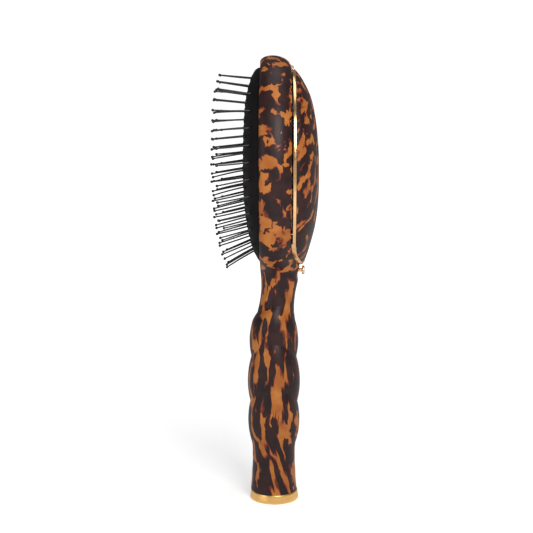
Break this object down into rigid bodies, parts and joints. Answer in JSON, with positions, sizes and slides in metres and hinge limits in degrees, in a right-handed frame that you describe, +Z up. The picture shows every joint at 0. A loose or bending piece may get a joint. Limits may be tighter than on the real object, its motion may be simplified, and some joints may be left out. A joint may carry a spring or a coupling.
{
  "type": "vanity hairbrush",
  "caption": "Oval pneumatic cushion hairbrush with a ridged handle, a metal end cap and a hinged back lid that covers a shallow storage tray and a mirror, closed by a push button.",
  "frame": {"origin": "centre of the end cap's bottom face", "axes": "+Z up the handle to the head, -Y the pin side, +Y the lid side, X the width"},
  "size_m": [0.076, 0.0563, 0.2349],
  "materials": {
    "lacquered_body": "satin lacquer, tortoiseshell",
    "gold_trim": "polished pale gold plating",
    "gold_cap": "satin gold plating",
    "cushion_rubber": "matt, fine grain",
    "pin_nylon": "semi-gloss nylon",
    "tray_liner": "fine matt texture",
    "mirror": "silvered",
    "foam": "matt foam",
    "steel": "bright"
  },
  "bodies": {
    "brush": {"brush_body": "lacquered_body", "compartment_tray": "tray_liner", "catch_plate": "gold_trim", "catch_plate_screws": "steel", "hinge_body_leaf": "gold_trim", "hinge_body_screws": "steel", "hinge_pin": "steel", "button_guide": "gold_trim", "button_spring": "steel", "cap_plug": "tray_liner", "end_cap": "gold_cap"},
    "cushion": {"cushion_pad": "cushion_rubber", "pins_column_1": "pin_nylon", "pins_column_2": "pin_nylon", "pins_column_3": "pin_nylon", "pins_column_4": "pin_nylon", "pins_column_5": "pin_nylon", "pins_column_6": "pin_nylon", "pins_column_7": "pin_nylon"},
    "lid": {"lid_shell": "lacquered_body", "lid_bezel": "gold_trim", "mirror_backing": "tray_liner", "mirror_pad": "foam", "mirror_glass": "mirror", "mirror_frame": "gold_trim", "hinge_lid_leaf": "gold_trim", "hinge_lid_screws": "steel", "lid_hook": "steel"},
    "button": {"push_button": "gold_trim"}
  },
  "joints": [
    {"name": "lid_hinge", "type": "hinge", "parent": "brush", "child": "lid", "pos_m": [0, 0.00855, 0.2285], "axis": [1, 0, 0], "range_deg": [0, 100]},
    {"name": "button_press", "type": "slide", "parent": "brush", "child": "button", "axis": [0, -1, 0], "range_m": [0, 0.0012], "stiffness_N_per_m": 600, "springref_m": -0.0008, "deforming": ["button_spring"]},
    {"name": "cushion_press", "type": "slide", "parent": "brush", "child": "cushion", "axis": [0, 1, 0], "range_m": [0, 0.0025], "stiffness_N_per_m": 4000, "springref_m": -0.0001}
  ]
}
